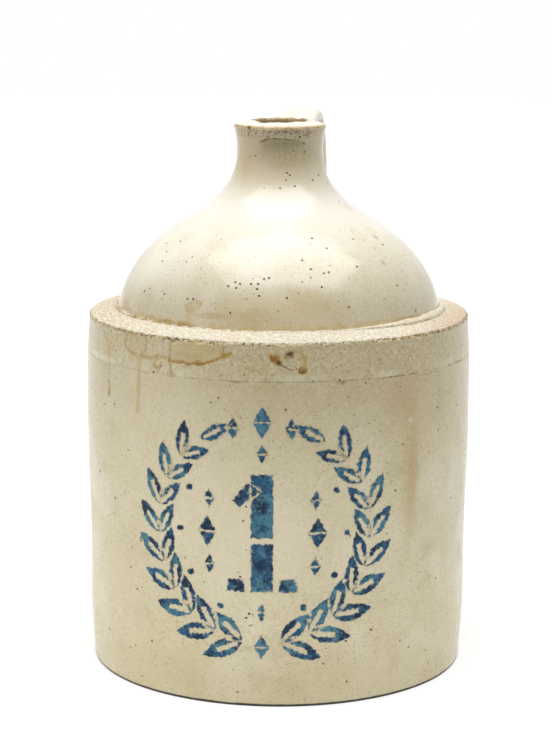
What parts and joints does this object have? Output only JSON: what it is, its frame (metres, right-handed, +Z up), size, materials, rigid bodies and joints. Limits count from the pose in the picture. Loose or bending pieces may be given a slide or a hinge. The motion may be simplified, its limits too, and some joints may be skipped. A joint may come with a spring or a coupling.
{
  "type": "stoneware jug",
  "caption": "Glazed stoneware jug with a straight body, a flat bare ledge, a domed top, a short flared neck with an open mouth, and a strap handle behind the neck.",
  "frame": {"origin": "centre of the foot ring, on the surface that the jug stands on", "axes": "+Z up along the jug's axis, +Y towards the strap handle, -Y towards the marked front"},
  "size_m": [0.1804, 0.1804, 0.2579],
  "materials": {
    "glazed_body": "warm grey cream glaze, satin, with fine iron specks",
    "glazed_top": "warm cream glaze, glossy, with fine iron specks",
    "bare_clay": "unglazed pale stoneware, matte and grainy",
    "cobalt_mark": "cobalt blue stencilled under the glaze"
  },
  "bodies": {
    "root": {"body_wall": "glazed_body", "base_disc": "bare_clay", "shoulder_ring": "glazed_body", "dome_top": "glazed_top", "neck_collar": "glazed_top", "shoulder_seam_slip": "bare_clay", "handle_strap": "glazed_top", "handle_upper_pad": "glazed_top", "handle_lower_pad": "glazed_top"}
  },
  "joints": []
}
